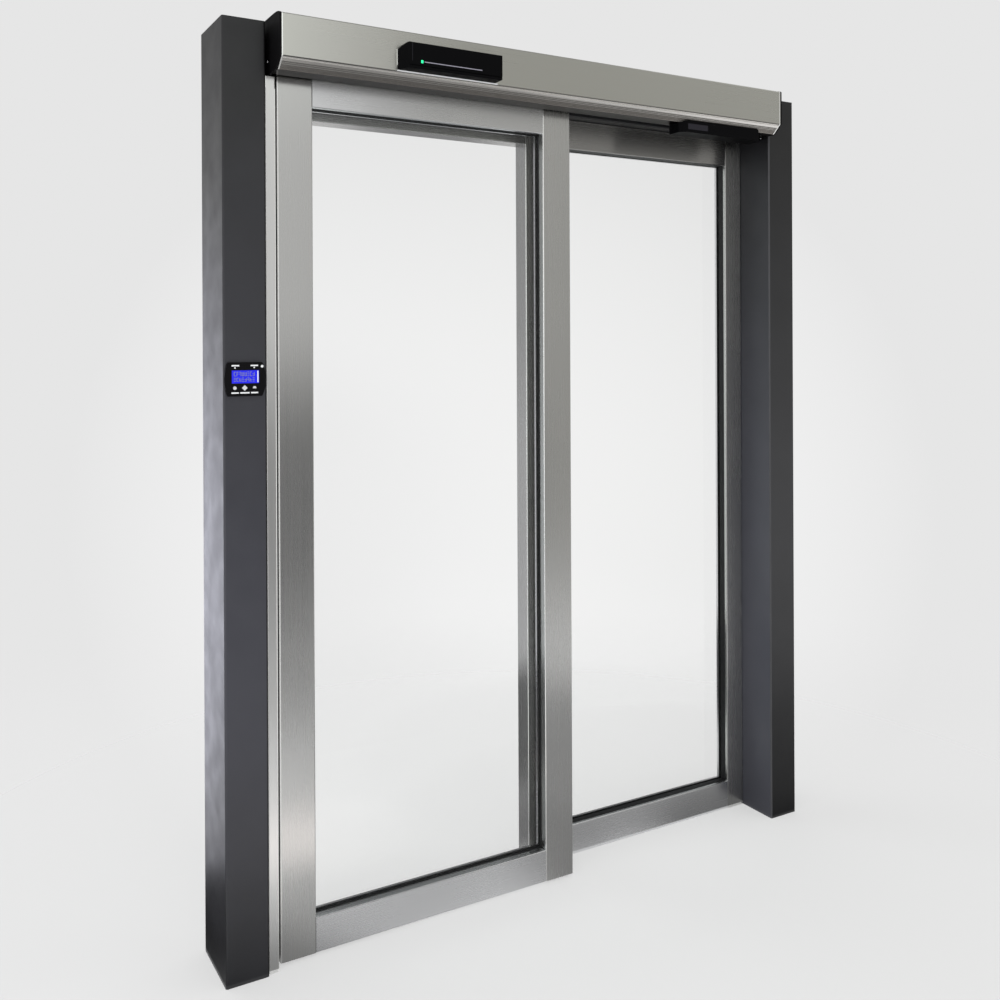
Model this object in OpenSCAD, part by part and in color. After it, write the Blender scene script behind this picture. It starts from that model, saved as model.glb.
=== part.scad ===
// Automatic sliding fire door between two posts: one sliding leaf, one fixed leaf,
// and a door operator with its track, belt and drive in front of the lintel.
// Millimetres. X runs along the door, Y from the front to the back, Z up.
// The origin is the middle of the left post's foot.

/* [Frame] */
// Clear width between the two posts
inner_w = 1716; // [1500:1:2200]
// Height of the posts
post_h = 2400; // [2200:1:2900]
// Width of a post, seen from the front
post_w = 110; // [80:1:140]
// Depth of a post, front to back
post_d = 200; // [180:1:260]
// Wall of the post and lintel tubes
tube_wall = 4; // [3:0.5:6]
// Outside corner radius of the tubes
tube_r = 5; // [3:0.5:8]
// Thickness of the foot and top plates of a post
plate_t = 10; // [6:1:14]
// Distance between the two anchor holes of a foot
anchor_pitch = 120; // [100:1:140]
// Diameter of an anchor hole
anchor_d = 14; // [12:0.5:18]
// Height of the lintel tube
lintel_h = 117; // [90:1:150]
// Depth of the lintel tube
lintel_d = 100; // [80:1:110]

/* [Leaves] */
// Width of the sliding leaf
leaf_w = 898; // [780:1:1120]
// Height of the underside of the sliding leaf above the floor
leaf_lift = 8; // [6:1:15]
// Front face of the sliding leaf, behind the front of the posts
leaf_setback = 25; // [18:1:34]
// Thickness of both leaves
leaf_t = 60; // [50:1:64]
// Space between the two leaves
leaf_space = 50; // [40:1:60]
// Face width of the stiles
stile_w = 95; // [80:1:115]
// Face width of the stile against the right post
wall_stile_w = 70; // [55:1:95]
// Face height of the rails
rail_h = 92; // [80:1:115]
// Sideways shift of the fixed leaf's stile behind the sliding leaf's
stile_shift = 4; // [0:1:10]
// Amount that the fixed leaf's top rail hangs lower than the sliding leaf's
fixed_drop = 12; // [6:1:20]
// Wall of the leaf profiles
profile_wall = 2.5; // [2:0.5:4]
// Radius of the profiles' outside corners
profile_r = 3; // [1:0.5:3]

/* [Glazing] */
// Height of the rebate that holds the glass
rebate = 20; // [14:1:25]
// Depth of the lip's front part, in front of its step
lip_front = 10; // [6:0.5:14]
// Depth of the step behind the lip's front part
lip_step = 3; // [2:0.5:4]
// Thickness of the fire glass
glass_t = 16; // [10:1:20]
// Depth of the glass edge inside the rebate
glass_bite = 12; // [8:1:14]
// Thickness of a gasket
gasket_t = 3; // [2:0.5:4]
// Depth of the glazing beads
bead_t = 8; // [6:0.5:10]

/* [Closing side] */
// Width of the closing jamb
jamb_w = 27; // [20:1:40]
// Depth of the closing jamb
jamb_d = 84; // [60:1:95]
// Front of the jamb behind the front of the posts
jamb_setback = 8; // [4:1:15]
// Gap between the jamb and the leaf
closing_gap = 10; // [8:1:16]
// Thickness of the rubber nose on the leaf
nose_t = 5; // [3:0.5:6]

/* [Operator] */
// Gap between the operator and each post
operator_gap = 13; // [8:1:20]
// Front of the operator, in front of the posts
operator_reach = 71.5; // [50:0.5:90]
// Height of the flat front
cover_face_h = 105; // [85:1:130]
// Height of the fluted chamfer
chamfer_h = 27; // [20:1:40]
// Depth of the fluted chamfer
chamfer_d = 29; // [20:1:40]
// Depth of the flat underside
underside_d = 55; // [40:1:58]
// Amount that the cover hangs below the top of the sliding leaf
cover_lap = 22; // [15:1:40]
// Rise of the rounded top edge
crown_h = 8; // [4:1:12]
// Depth of the rounded top edge
crown_d = 46; // [30:1:60]
// Wall of the cover
cover_wall = 2.5; // [2:0.5:4]
// Number of flutes
flutes = 5; // [3:1:5]
// Distance from one flute to the next
flute_pitch = 4.8; // [4.2:0.1:5]
// Diameter of a flute
flute_d = 3.4; // [2:0.1:4]
// Depth of the plain band above the flutes
flute_band = 14; // [10:0.5:14]
// Thickness of an end cap
cap_t = 5; // [3:0.5:8]
// Amount that an end cap stands proud of the cover
cap_lip = 1; // [0.5:0.5:2]
// Amount that the back of an end cap hangs below the cover
cap_drop = 8; // [4:1:12]

/* [Running gear] */
// Radius of the rail's rounded top
rail_r = 4; // [3:0.5:6]
// Top of the rail above the leaf
rail_rise = 40; // [34:1:46]
// Radius of a wheel at its groove
wheel_r = 17; // [14:0.5:22]
// Height of a wheel's flanges
flange_h = 3; // [2:0.5:4]
// Width of a wheel
wheel_w = 14; // [12:1:18]
// Running gap between wheel and rail
wheel_gap = 0.3; // [0.1:0.1:0.5]
// Distance from the end of the leaf to the middle of a carriage
carriage_inset = 150; // [110:1:220]
// Length of a carriage
carriage_l = 130; // [100:1:160]
// Thickness of the carriage plates
carriage_t = 6; // [4:0.5:8]
// Gap between the open leaf and the operator's right end cap
park_gap = 8; // [6:1:100]
// Pitch radius of the pulleys
pulley_r = 24; // [18:1:28]
// Width of the belt
belt_w = 14; // [10:1:20]
// Thickness of the belt
belt_t = 3; // [2:0.5:4]
// Radius of the drive motor
motor_r = 28; // [22:1:30]
// Length of the drive motor
motor_l = 150; // [100:1:200]
// Distance from the left end of the operator to the idler's axle
idler_inset = 80; // [70:1:120]
// Distance from the right end of the operator to the drive pulley's axle
drive_inset = 118; // [80:1:160]
// Length of the control unit
control_l = 300; // [200:1:380]
// Distance from the left end of the operator to the control unit
control_x = 608; // [300:1:800]

/* [Floor guide] */
// Width of the guide groove under the leaf
groove_w = 16; // [14:1:22]
// Depth of the guide groove
groove_h = 22; // [16:1:26]
// Length of the guide
guide_l = 40; // [30:1:60]

/* [Controls] */
// Width of the motion sensor
sensor_w = 308; // [240:1:340]
// Height of the motion sensor
sensor_h = 67; // [50:1:76]
// Depth of the motion sensor
sensor_d = 43; // [30:1:55]
// Middle of the motion sensor, from the left end of the operator
sensor_x = 471; // [300:1:700]
// Underside of the motion sensor, above the edge of the flat front
sensor_z = 3; // [2:1:12]
// Slope of the motion sensor's ends, in degrees
sensor_slope = 20; // [5:1:30]
// Width of the presence sensor under the operator
presence_w = 335; // [260:1:360]
// Amount that the presence sensor hangs below the operator
presence_t = 30; // [20:1:34]
// Front of the presence sensor, behind the front of the operator
presence_y = 16.5; // [12:0.5:20]
// Distance from the presence sensor to the right end of the operator
presence_inset = 66; // [40:1:200]
// Sideways place of the middle of the control panel on the post
panel_x = -2.5; // [-2.5:0.5:2.5]
// Width of the control panel
panel_w = 105; // [78:1:108]
// Height of the control panel
panel_h = 84; // [76:1:100]
// Height of the middle of the control panel
panel_z = 1502.5; // [1100:0.5:1600]

/* [Hidden] */
$fn = 48;

seat = 0.3;                                   // gap left between pieces that lie on each other
clear = 5;                                    // least gap between fixed and moving pieces
front_y = -post_d / 2;                        // front of the posts
in_l = post_w / 2;                            // inner face of the left post
in_r = in_l + inner_w;                        // inner face of the right post

// heights, from the lintel down
lintel_z = post_h - lintel_h;                 // underside of the lintel, on the fixed leaf
fixed_head = lintel_z - rail_h;               // underside of the fixed leaf's top rail
head_z = fixed_head + fixed_drop;             // underside of the sliding leaf's top rail
leaf_top = head_z + rail_h;

// sliding leaf
leaf_x = in_l + jamb_w + closing_gap;
leaf_y = front_y + leaf_setback;
slide_y = leaf_y + leaf_t / 2;                // middle plane of the sliding leaf
sight_l = leaf_x + stile_w;                   // sight lines of the glass
sight_r = leaf_x + leaf_w - stile_w;
sight_z = leaf_lift + rail_h;

// fixed leaf
fixed_y = leaf_y + leaf_t + leaf_space;
fixed_x = sight_r + stile_shift;              // its left stile stands behind the sliding one
fixed_r = in_r - seat;
fixed_sight_l = fixed_x + stile_w;
fixed_sight_r = fixed_r - wall_stile_w;

// glazing, measured from the face of a leaf; the lip takes what the glass and beads leave
bead_v = leaf_t - bead_t;
glass_v = bead_v - gasket_t - glass_t;
lip_t = glass_v - gasket_t;

// lintel
lintel_back = 3;                              // back of the lintel, in front of the posts' back
lintel_y = post_d / 2 - lintel_d - lintel_back;

// operator
op_x = in_l + operator_gap;
op_l = inner_w - 2 * operator_gap;
op_r = op_x + op_l;
op_y = front_y - operator_reach;              // front of the cover
op_back = lintel_y;                           // back of the operator, on the lintel
under_z = leaf_top - cover_lap;               // underside of the cover
face_z = under_z + chamfer_h;                 // bottom of the flat front
crown_z = face_z + cover_face_h;              // top of the flat front
top_z = crown_z + crown_h;                    // top of the cover
slot_y = op_y + chamfer_d + underside_d;      // front of the slot that the leaf hangs through
travel = op_r - cap_t - park_gap - leaf_x - leaf_w;
chamfer_way = [chamfer_d, -chamfer_h] / norm([chamfer_d, chamfer_h]);
arris = 2;                                    // bevel between the flat front and the chamfer
profile_t = 4;
shelf_z = top_z - cover_wall - seat - profile_t; // underside of the profile's top wall

// running gear
rail_z = leaf_top + rail_rise;                // top of the rail
axle_z = rail_z + wheel_gap + wheel_r;
axle_r = 5;
bore_gap = 0.05;                              // running fit of the wheels and pulleys
spacer = 4;                                   // from the carriage plate to its wheels
plate_y = slide_y - wheel_w / 2 - spacer - carriage_t;
belt_y = plate_y - 11 - belt_w;               // front edge of the belt
pulley_z = axle_z - 4;
flange_t = 3;                                 // thickness of a pulley's flanges
idler_x = op_x + idler_inset;
drive_x = op_r - drive_inset;
carriages = [leaf_x + carriage_inset, leaf_x + leaf_w - carriage_inset];
stop_l = 16;                                  // length of an end stop on the rail
stop_w = wheel_w - 2;
clamp_l = 50;                                 // length of the belt clamp
gear_w = 70;                                  // gearbox, seen from the front
gear_d = 58;                                  // gearbox, front to back
gear_back = belt_y - clear;
gear_y = gear_back - gear_d;

nose_w = 20;                                  // width of the closing nose
seal_w = 24;                                  // foot of the overlap seal's angle
seal_t = 3;                                   // thickness of the overlap seal
guide_h = 45;                                 // height of the floor guide's foot on the stile
guide_t = 4;                                  // thickness of that foot
panel_t = 9;                                  // thickness of the control panel

// ---- helpers -------------------------------------------------------------------------------

// A profile drawn in Y and Z, run along X from x to x + length
module along_x(x, length) {
    translate([x, 0, 0]) rotate([90, 0, 90]) linear_extrude(length) children();
}

// A shape drawn in X and Z, run along Y from y to y + depth
module along_y(y, depth) {
    translate([0, y + depth, 0]) rotate([90, 0, 0]) linear_extrude(depth) children();
}

module box(lo, hi) {
    translate(lo) cube([hi[0] - lo[0], hi[1] - lo[1], hi[2] - lo[2]]);
}

// A rectangle with true round corners
module round_rect(w, h, r) {
    union() {
        translate([r, 0]) square([w - 2 * r, h]);
        translate([0, r]) square([w, h - 2 * r]);
        for (x = [r, w - r], y = [r, h - r]) translate([x, y]) circle(r);
    }
}

// A rectangle with round corners at its front only
module round_front(w, h, r) {
    union() {
        translate([r, 0]) square([w - 2 * r, h]);
        translate([0, r]) square([w, h - r]);
        for (x = [r, w - r]) translate([x, r]) circle(r);
    }
}

module tube_2d(w, h, r, wall) {
    difference() {
        round_rect(w, h, r);
        translate([wall, wall]) square([w - 2 * wall, h - 2 * wall]);
    }
}

// ---- frame ---------------------------------------------------------------------------------

module post(x) {
    translate([x - post_w / 2, front_y, 0])
        linear_extrude(post_h) tube_2d(post_w, post_d, tube_r, tube_wall);
}

// Plate that closes the end of a post, welded inside its walls
module post_plate(x, z) {
    w = post_w - 2 * tube_wall;
    d = post_d - 2 * tube_wall;
    translate([x - w / 2, -d / 2, z]) cube([w, d, plate_t]);
}

module left_post() { color([0.25, 0.25, 0.27]) post(0); }
module right_post() { color([0.25, 0.25, 0.27]) post(inner_w + post_w); }

module post_foot_plates() {
    color([0.2, 0.2, 0.22])
    for (x = [0, inner_w + post_w]) difference() {
        post_plate(x, 0);
        for (side = [-1, 1]) translate([x, side * anchor_pitch / 2, -1])
            cylinder(h = plate_t + 2, d = anchor_d);
    }
}

module post_top_plates() {
    color([0.25, 0.25, 0.27])
    for (x = [0, inner_w + post_w]) post_plate(x, post_h - plate_t);
}

module lintel_tube() {
    color([0.25, 0.25, 0.27])
    along_x(in_l, inner_w)
        translate([lintel_y, lintel_z]) tube_2d(lintel_d, lintel_h, tube_r, tube_wall);
}

// Head profile over the opening, between the left post and the fixed leaf
module opening_head() {
    color([0.6, 0.6, 0.6])
    along_x(in_l, fixed_x - in_l) translate([fixed_y, fixed_head])
        tube_2d(leaf_t, rail_h, profile_r, profile_wall);
}

// Jamb that the sliding leaf closes against, with a groove for the leaf's nose in its face
module closing_jamb() {
    nose_y = slide_y - front_y - jamb_setback;
    color([0.75, 0.75, 0.74])
    translate([in_l, front_y + jamb_setback, 0]) linear_extrude(under_z - cap_drop) difference() {
        tube_2d(jamb_w, jamb_d, profile_r, profile_wall);
        translate([jamb_w - 1, nose_y - nose_w / 2 - 2]) square([2, nose_w + 4]);
    }
}

// ---- leaves --------------------------------------------------------------------------------

// Cross-section of a stile or rail: u runs from the leaf's edge to the glass, v is depth.
// A tube, with a hollow lip in front of the glass and an open rebate behind the lip.
module leaf_profile(face) {
    tube = face - rebate;
    difference() {
        union() {
            round_rect(tube, leaf_t, profile_r);
            round_front(face - lip_step, lip_t, profile_r);
            round_front(face, lip_front, profile_r);
        }
        translate([profile_wall, profile_wall])
            square([tube - 2 * profile_wall, leaf_t - 2 * profile_wall]);
        translate([tube + profile_wall, profile_wall])
            square([rebate - lip_step - 2 * profile_wall, lip_t - 2 * profile_wall]);
    }
}

// Stile of a leaf that starts at x; the leaf runs to the right of a left-hand stile
module stile(x, y, face, z0, z1, left) {
    translate([x, y, z0]) linear_extrude(z1 - z0)
        mirror([left ? 0 : 1, 0]) leaf_profile(face);
}

// Rail between two stiles, with its outer edge at z; its back part runs on to the stile tubes
module rail(x0, x1, y, z, bottom) {
    difference() {
        along_x(x0 - rebate, x1 - x0 + 2 * rebate)
            translate([y, z]) mirror([bottom ? 1 : 0, 0]) rotate(bottom ? 90 : -90)
                leaf_profile(rail_h);
        for (x = [x0 - rebate - 1, x1]) translate([x, y - 1, bottom ? z - 1 : z - rail_h - 1])
            cube([rebate + 1, lip_t + 1, rail_h + 2]);
    }
}

// Groove under the sliding leaf for the floor guide, and the channel that lines it
module guide_groove() {
    box([leaf_x - 1, slide_y - groove_w / 2, leaf_lift - 1],
        [leaf_x + leaf_w + 1, slide_y + groove_w / 2, leaf_lift + groove_h]);
}

module guide_channel(x0, x1) {
    w = groove_w / 2 + profile_wall;
    box([x0, slide_y - w, leaf_lift], [x1, slide_y + w, leaf_lift + groove_h + profile_wall]);
}

// Pane with its edges inside the rebates; x0, x1, z0, z1 are the sight lines
module pane(x0, x1, y, z0, z1) {
    box([x0 - glass_bite, y + glass_v, z0 - glass_bite],
        [x1 + glass_bite, y + bead_v - gasket_t, z1 + glass_bite]);
}

// Four strips round a pane, h wide outside the sight lines
module strips(x0, x1, z0, z1, y, t, h) {
    for (x = [x0 - h, x1]) box([x, y, z0 - h], [x + h, y + t, z1 + h]);
    for (z = [z0 - h, z1]) box([x0 + seat, y, z], [x1 - seat, y + t, z + h]);
}

module beads(x0, x1, y, z0, z1) {
    strips(x0, x1, z0, z1, y + bead_v, bead_t, rebate);
}

module gaskets(x0, x1, y, z0, z1) {
    for (v = [lip_t, bead_v - gasket_t]) strips(x0, x1, z0, z1, y + v, gasket_t, glass_bite);
}

// Rubber that fills the step of the lips, in one piece with the front gaskets
module step_filling(x0, x1, y, z0, z1) {
    strips(x0, x1, z0, z1, y + lip_front, lip_t + gasket_t - lip_front, lip_step);
}

module sliding_left_stile() {
    color([0.72, 0.71, 0.69]) difference() {
        union() {
            stile(leaf_x, leaf_y, stile_w, leaf_lift, leaf_top, true);
            guide_channel(leaf_x, sight_l - rebate);
        }
        guide_groove();
    }
}

module sliding_right_stile() {
    color([0.72, 0.71, 0.69]) difference() {
        union() {
            stile(leaf_x + leaf_w, leaf_y, stile_w, leaf_lift, leaf_top, false);
            guide_channel(sight_r + rebate, leaf_x + leaf_w);
        }
        guide_groove();
    }
}

module sliding_top_rail() {
    color([0.68, 0.69, 0.69]) rail(sight_l, sight_r, leaf_y, leaf_top, false);
}

module sliding_bottom_rail() {
    color([0.68, 0.69, 0.7]) difference() {
        union() {
            rail(sight_l, sight_r, leaf_y, leaf_lift, true);
            guide_channel(sight_l, sight_r);
        }
        guide_groove();
    }
}

module sliding_glass() {
    color([0.8, 0.9, 0.88, 0.3]) pane(sight_l, sight_r, leaf_y, sight_z, head_z);
}

module sliding_beads() {
    color([0.6, 0.61, 0.6]) beads(sight_l, sight_r, leaf_y, sight_z, head_z);
}

module sliding_gaskets() {
    color([0.05, 0.05, 0.05]) gaskets(sight_l, sight_r, leaf_y, sight_z, head_z);
}

// Rubber nose on the closing edge of the sliding leaf
module closing_nose() {
    color([0.06, 0.06, 0.06])
    box([leaf_x - nose_t, slide_y - nose_w / 2, leaf_lift + 2],
        [leaf_x, slide_y + nose_w / 2, under_z - clear]);
}

module fixed_left_stile() {
    color([0.6, 0.6, 0.6]) stile(fixed_x, fixed_y, stile_w, 0, lintel_z, true);
}

module fixed_right_stile() {
    color([0.5, 0.5, 0.5]) stile(fixed_r, fixed_y, wall_stile_w, 0, lintel_z, false);
}

module fixed_top_rail() {
    color([0.5, 0.5, 0.5]) rail(fixed_sight_l, fixed_sight_r, fixed_y, lintel_z, false);
}

module fixed_bottom_rail() {
    color([0.55, 0.55, 0.56]) rail(fixed_sight_l, fixed_sight_r, fixed_y, 0, true);
}

module fixed_glass() {
    color([0.8, 0.9, 0.88, 0.3])
    pane(fixed_sight_l, fixed_sight_r, fixed_y, rail_h, fixed_head);
}

module fixed_beads() {
    color([0.55, 0.55, 0.55]) beads(fixed_sight_l, fixed_sight_r, fixed_y, rail_h, fixed_head);
}

module fixed_gaskets() {
    color([0.05, 0.05, 0.05]) union() {
        gaskets(fixed_sight_l, fixed_sight_r, fixed_y, rail_h, fixed_head);
        step_filling(fixed_sight_l, fixed_sight_r, fixed_y, rail_h, fixed_head);
    }
}

// Angle on the fixed stile that closes the space between the leaves
module overlap_seal() {
    angle_x = fixed_x + stile_w - rebate - seal_w - clear;
    deep = leaf_space - clear;
    color([0.15, 0.15, 0.16])
    translate([angle_x, fixed_y - deep, guide_h + clear])
        linear_extrude(under_z - guide_h - 2 * clear) union() {
            square([seal_t, deep]);
            translate([0, deep - seal_t]) square([seal_w, seal_t]);
        }
}

// ---- running gear --------------------------------------------------------------------------

// Hanging plate with a foot bolted on the leaf's top rail and two wheel axles
module carriage_plates() {
    over_axle = 14;
    foot_d = 16;
    color([0.55, 0.56, 0.58])
    for (cx = carriages) {
        box([cx - carriage_l / 2, plate_y, leaf_top],
            [cx + carriage_l / 2, plate_y + carriage_t, axle_z + over_axle]);
        box([cx - carriage_l / 2, plate_y + carriage_t, leaf_top],
            [cx + carriage_l / 2, slide_y + foot_d, leaf_top + carriage_t]);
        for (side = [-1, 1]) translate([cx + side * carriage_l / 4, 0, axle_z])
            along_y(plate_y + carriage_t, spacer + wheel_w) circle(axle_r);
    }
}

// Grooved wheel on its axle
module wheel(x) {
    bore = axle_r + bore_gap;
    translate([x, slide_y, axle_z]) rotate([90, 0, 0]) rotate_extrude($fn = 64)
        difference() {
            translate([bore, -wheel_w / 2]) square([wheel_r + flange_h - bore, wheel_w]);
            translate([wheel_r + rail_r + wheel_gap, 0]) circle(rail_r + wheel_gap);
        }
}

module carriage_wheels() {
    color([0.85, 0.85, 0.82])
    for (cx = carriages, side = [-1, 1]) wheel(cx + side * carriage_l / 4);
}

// Clamp from the left carriage that takes hold of the lower run of the belt
module belt_clamp() {
    low = pulley_z - pulley_r - belt_t;
    jaw = 6;
    x0 = carriages[0] - clamp_l / 2;
    x1 = carriages[0] + clamp_l / 2;
    color([0.3, 0.3, 0.32]) difference() {
        box([x0, belt_y - 1, low - jaw], [x1, plate_y, low + belt_t + jaw]);
        box([x0 - 1, belt_y - 2, low - seat], [x1 + 1, belt_y + belt_w + 1, low + belt_t + seat]);
    }
}

// ---- operator ------------------------------------------------------------------------------

// Back wall on the lintel and top wall that carries the drive
module operator_profile() {
    color([0.6, 0.61, 0.62])
    along_x(op_x + cap_t, op_l - 2 * cap_t) union() {
        translate([op_back - profile_t, leaf_top]) square([profile_t, shelf_z + profile_t - leaf_top]);
        translate([op_y + crown_d, shelf_z]) square([op_back - op_y - crown_d, profile_t]);
    }
}

// Arm from the back wall with a round-topped rail that the wheels run on, and a stop past
// each end of the travel
module track_rail() {
    arm_z = rail_z - 18;
    first = carriages[0] - carriage_l / 4 - wheel_r - flange_h;
    last = carriages[1] + carriage_l / 4 + wheel_r + flange_h + travel;
    color([0.65, 0.66, 0.67]) union() {
        along_x(op_x + cap_t, op_l - 2 * cap_t) {
            translate([slide_y, arm_z]) square([op_back - profile_t - slide_y, 6]);
            translate([slide_y - rail_r, arm_z]) square([2 * rail_r, rail_z - rail_r - arm_z]);
            translate([slide_y, rail_z - rail_r]) circle(rail_r);
        }
        for (x = [first - clear - stop_l, last + clear])
            box([x, slide_y - stop_w / 2, arm_z], [x + stop_l, slide_y + stop_w / 2, axle_z]);
    }
}

// Front and crown of the operator in Y and Z, set in by g, from the chamfer up to the top
function operator_front(g) = concat(
    [[op_y + g, face_z] + arris * chamfer_way, [op_y + g, face_z + arris], [op_y + g, crown_z]],
    [for (a = [10:10:90])
        [op_y + g + crown_d * (1 - cos(a)), crown_z + (crown_h - g) * sin(a)]]);

// Outline of the operator, set in by g and longer at the back by more
module operator_outline(g, more) {
    polygon(concat(
        [[op_back + more, under_z + g], [op_y + chamfer_d + more, under_z + g]],
        operator_front(g),
        [[op_back + more, top_z - g]]));
}

// Front wall, chamfer and crown; a line and the flutes are cut into the chamfer
module operator_cover() {
    band_line = 5;
    color([0.7, 0.7, 0.66])
    along_x(op_x + cap_t, op_l - 2 * cap_t) difference() {
        operator_outline(0, 0);
        operator_outline(cover_wall, 1);
        for (at = concat([band_line], [for (i = [0:flutes - 1]) flute_band + (i + 0.5) * flute_pitch]))
            translate([op_y, face_z] + at * chamfer_way) circle(flute_d / 2, $fn = 24);
        translate([slot_y, under_z - 1]) square([op_back - slot_y + 1, cover_wall + 2]);
    }
}

// Plate over the end of the operator; its back part hangs lower, beside the slot
module end_cap(x) {
    color([0.12, 0.12, 0.13]) along_x(x, cap_t) polygon(concat(
        [[op_back, under_z - cap_drop], [slot_y, under_z - cap_drop],
            [slot_y - 2 * cap_drop, under_z - cap_lip], [op_y + chamfer_d, under_z - cap_lip]],
        operator_front(-cap_lip),
        [[op_back, top_z + cap_lip]]));
}

module left_end_cap() { end_cap(op_x); }
module right_end_cap() { end_cap(op_r - cap_t); }

// Toothed belt round the two pulleys
module drive_belt() {
    color([0.08, 0.08, 0.08])
    along_y(belt_y, belt_w) difference() {
        belt_loop(pulley_r + belt_t);
        belt_loop(pulley_r);
    }
}

module belt_loop(r) {
    union() {
        for (x = [idler_x, drive_x]) translate([x, pulley_z]) circle(r, $fn = 72);
        translate([idler_x, pulley_z - r]) square([drive_x - idler_x, 2 * r]);
    }
}

module pulley(x) {
    bore = axle_r + bore_gap;
    rim = pulley_r + belt_t + 1;
    seat_w = belt_w / 2 + seat;
    out_w = seat_w + flange_t;
    translate([x, belt_y + belt_w / 2, pulley_z]) rotate([90, 0, 0]) rotate_extrude($fn = 72)
        difference() {
            translate([bore, -out_w]) square([rim - bore, 2 * out_w]);
            translate([pulley_r - seat, -seat_w]) square([rim, 2 * seat_w]);
        }
}

module drive_pulley() { color([0.7, 0.7, 0.72]) pulley(drive_x); }
module idler_pulley() { color([0.7, 0.7, 0.72]) pulley(idler_x); }

// Gearbox hung from the profile's top wall, with the shaft that drives the belt
module drive_gearbox() {
    below = 30;
    color([0.5, 0.5, 0.52]) union() {
        box([drive_x - gear_w / 2, gear_y, pulley_z - below],
            [drive_x + gear_w / 2, gear_back, shelf_z]);
        translate([drive_x, 0, pulley_z]) along_y(gear_back, belt_w + 2 * clear) circle(axle_r);
    }
}

module drive_motor() {
    color([0.2, 0.2, 0.22])
    translate([drive_x - gear_w / 2 - motor_l, gear_y + gear_d / 2, pulley_z])
        rotate([0, 90, 0]) cylinder(h = motor_l, r = motor_r);
}

module idler_bracket() {
    w = 60;
    t = 5;
    below = 16;
    color([0.6, 0.6, 0.62]) union() {
        box([idler_x - w / 2, gear_back - t, pulley_z - below], [idler_x + w / 2, gear_back, shelf_z]);
        translate([idler_x, 0, pulley_z]) along_y(gear_back, belt_w + 2 * clear) circle(axle_r);
    }
}

module control_unit() {
    high = 62;
    deep = 50;
    color([0.16, 0.16, 0.18])
    box([op_x + control_x, gear_y, shelf_z - high],
        [op_x + control_x + control_l, gear_y + deep, shelf_z]);
}

// Foot on the fixed stile with a fin that stands in the leaf's groove
module floor_guide() {
    x0 = fixed_x + 6;
    fin = groove_w / 2 - 3;
    base = leaf_lift - clear;
    color([0.2, 0.2, 0.2]) union() {
        box([x0, slide_y - fin - guide_t, 0], [x0 + guide_l, fixed_y, base]);
        box([x0, fixed_y - guide_t, 0], [x0 + guide_l, fixed_y, guide_h]);
        box([x0, slide_y - fin, 0], [x0 + guide_l, slide_y + fin, leaf_lift + groove_h - clear]);
    }
}

// ---- controls ------------------------------------------------------------------------------

// Housing on the operator's front: cut corners, sloped ends, a notch above the lower lip
module motion_sensor() {
    low_cut = 17;
    high_cut = 13;
    small_cut = 5;
    lip_h = 7;
    lip_in = 1.5;
    notch_h = 2;
    notch_d = 4;
    half = sensor_w / 2;
    fore = half - sensor_d * tan(sensor_slope);
    front = op_y - sensor_d;
    color([0.06, 0.06, 0.07])
    translate([op_x + sensor_x, 0, face_z + sensor_z]) intersection() {
        along_y(front, sensor_d) polygon([
            [-half, small_cut], [small_cut - half, 0], [half - low_cut, 0], [half, low_cut],
            [half, sensor_h - small_cut], [half - small_cut, sensor_h],
            [high_cut - half, sensor_h], [-half, sensor_h - high_cut]]);
        along_x(-half, sensor_w) polygon([
            [op_y, 0], [front + 2 * lip_in, 0], [front + lip_in, lip_in], [front + lip_in, lip_h],
            [front + notch_d, lip_h], [front + notch_d, lip_h + notch_h], [front, lip_h + notch_h],
            [front, sensor_h - lip_in], [front + lip_in, sensor_h], [op_y, sensor_h]]);
        linear_extrude(sensor_h)
            polygon([[-fore, front], [fore, front], [half, op_y], [-half, op_y]]);
    }
}

// Bar under the operator with a nose in front of the chamfer, and sloped ends
module presence_sensor() {
    nose_up = 5;
    nose_edge = 8;
    end_cut = 20;
    back_in = 2;
    x1 = op_r - presence_inset;
    x0 = x1 - presence_w;
    front = op_y + presence_y;
    back = slot_y - back_in;
    z0 = under_z - presence_t;
    top_y = op_y + chamfer_d * (1 - nose_up / chamfer_h) - seat;
    color([0.05, 0.05, 0.06]) intersection() {
        along_x(x0, presence_w) polygon([
            [front, z0 + nose_edge], [front + nose_edge / 2, z0], [back, z0], [back, under_z],
            [op_y + chamfer_d - seat, under_z], [top_y, under_z + nose_up],
            [front, under_z + nose_up]]);
        translate([0, 0, z0]) linear_extrude(presence_t + nose_up) polygon([
            [x0, front + end_cut], [x0 + end_cut, front], [x1 - end_cut, front],
            [x1, front + end_cut], [x1, back], [x0, back]]);
    }
}

// Plate with bowed sides
module control_panel() {
    bow_r = panel_h * 1.1;
    color([0.05, 0.05, 0.06])
    along_y(front_y - panel_t, panel_t) intersection() {
        translate([panel_x - panel_w / 2, panel_z - panel_h / 2]) square([panel_w, panel_h]);
        translate([panel_x - panel_w / 2 + bow_r, panel_z]) circle(bow_r, $fn = 96);
        translate([panel_x + panel_w / 2 - bow_r, panel_z]) circle(bow_r, $fn = 96);
    }
}

module panel_display() {
    w = 68;
    h = 32;
    low = panel_z - 10;
    proud = 1;
    color([0.15, 0.2, 0.85])
    along_y(front_y - panel_t - proud, proud)
        translate([panel_x - w / 2, low]) square([w, h]);
}

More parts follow.
